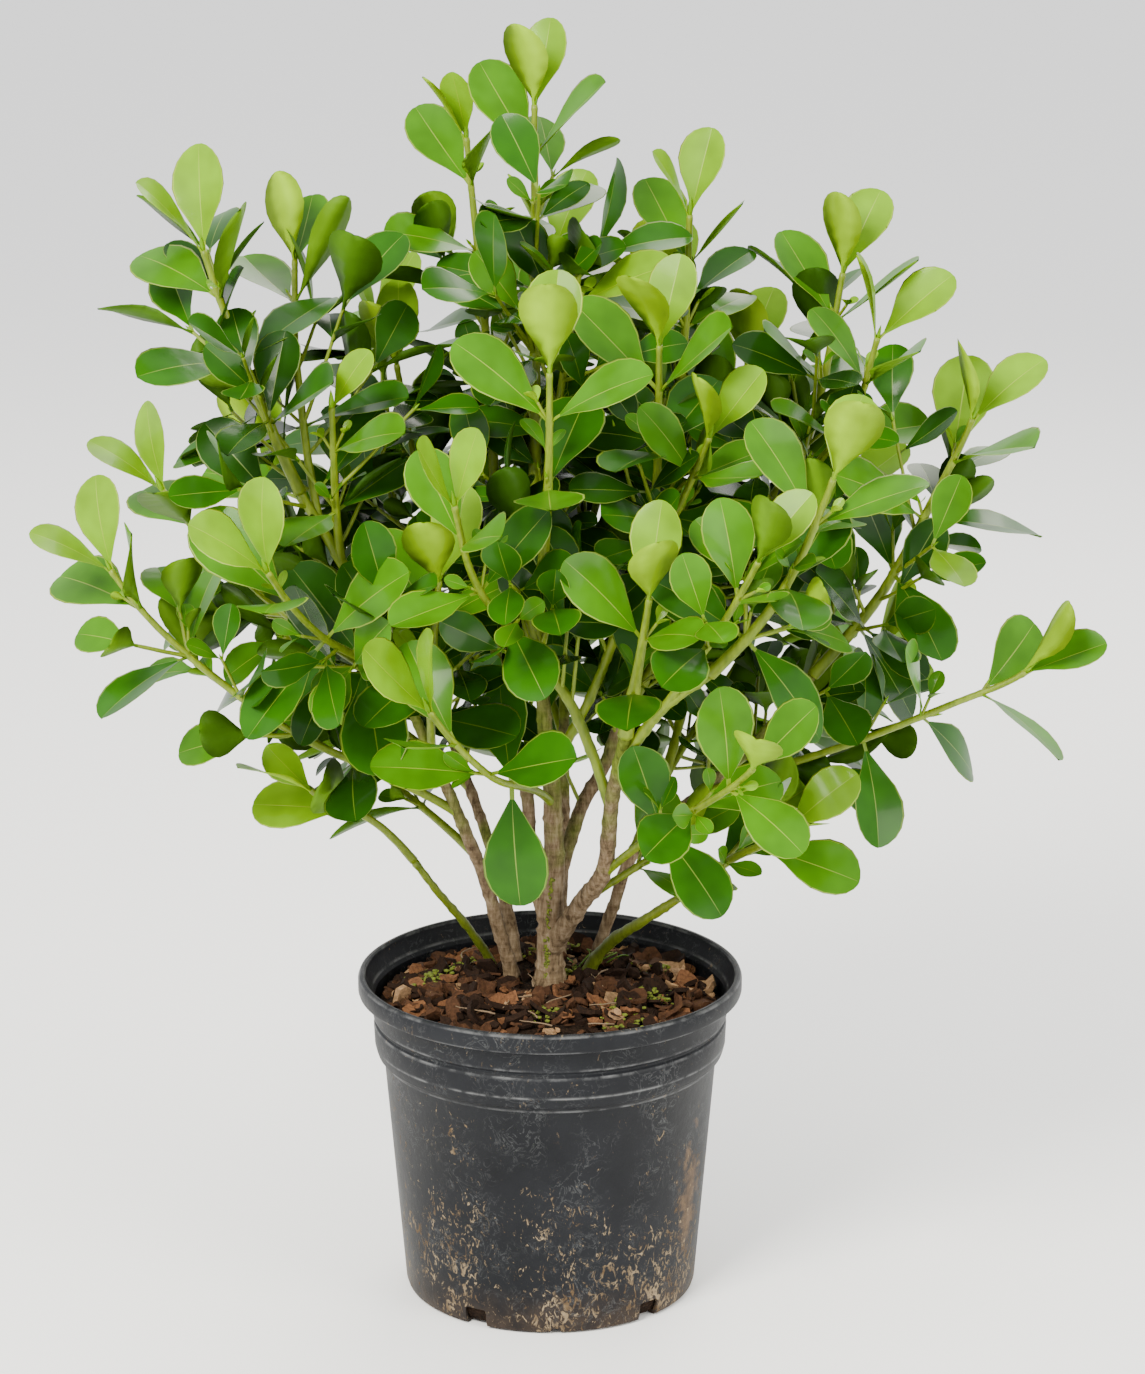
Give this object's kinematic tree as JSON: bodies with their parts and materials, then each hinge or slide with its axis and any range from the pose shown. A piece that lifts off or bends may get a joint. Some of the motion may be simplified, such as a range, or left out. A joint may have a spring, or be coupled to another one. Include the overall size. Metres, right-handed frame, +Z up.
{
  "type": "potted clusia shrub",
  "caption": "Bushy clusia shrub with thick paddle-shaped green leaves on woody stems, rooted in bark in a round black nursery pot.",
  "frame": {"origin": "middle of the pot's flat underside, on the surface that it stands on", "axes": "+Z up along the pot's axis; -Y is the front, which the picture shows; +X is its right-hand side"},
  "size_m": [0.7474, 0.534, 0.9306],
  "materials": {
    "pot_plastic": "worn matte black plastic with soil stains",
    "bark_soil": "damp bark mulch over roots",
    "stem_bark": "dry tan bark with leaf scars",
    "green_stem": "smooth young green stem",
    "clusia_leaf": "thick waxy glossy leaf"
  },
  "bodies": {
    "root": {"pot": "pot_plastic", "root_ball": "bark_soil", "trunk": "stem_bark", "left_bough": "stem_bark", "far_left_bough": "green_stem", "low_right_bough": "stem_bark", "back_right_bough": "stem_bark", "back_left_bough": "stem_bark", "back_middle_bough": "stem_bark", "centre_left_bough": "stem_bark", "front_right_bough": "stem_bark", "right_centre_bough": "stem_bark", "inner_right_bough": "green_stem", "leader_bough": "stem_bark", "right_front_bough": "green_stem", "inner_front_bough": "green_stem", "left_high_bough": "green_stem", "right_high_bough": "green_stem", "back_far_bough": "green_stem", "crown_leader": "clusia_leaf", "top_left": "clusia_leaf", "top_right": "clusia_leaf", "upper_middle": "clusia_leaf", "front_middle": "clusia_leaf", "front_upper_right": "clusia_leaf", "right_top": "clusia_leaf", "right_top_outer": "clusia_leaf", "right_front": "clusia_leaf", "right_front_inner": "clusia_leaf", "right_outer": "clusia_leaf", "right_far": "clusia_leaf", "front_right": "clusia_leaf", "front_low_right": "clusia_leaf", "right_low": "clusia_leaf", "left_top": "clusia_leaf", "left_top_inner": "clusia_leaf", "left_back": "clusia_leaf", "left_low": "clusia_leaf", "left_outer": "clusia_leaf", "left_inner": "clusia_leaf", "left_middle": "clusia_leaf", "front_left": "clusia_leaf", "front_far_left": "clusia_leaf", "front_low_left": "clusia_leaf", "front_low": "clusia_leaf", "inner_right": "clusia_leaf", "inner_left": "clusia_leaf", "back_top": "clusia_leaf", "back_upper_right": "clusia_leaf", "back_middle_right": "clusia_leaf", "back_middle_left": "clusia_leaf", "back_upper_left": "clusia_leaf", "back_left": "clusia_leaf", "back_low_left": "clusia_leaf", "back_low_middle": "clusia_leaf", "back_far_right": "clusia_leaf", "back_right": "clusia_leaf", "back_low_right": "clusia_leaf", "side_low_right": "clusia_leaf", "side_low_left": "clusia_leaf"}
  },
  "joints": []
}
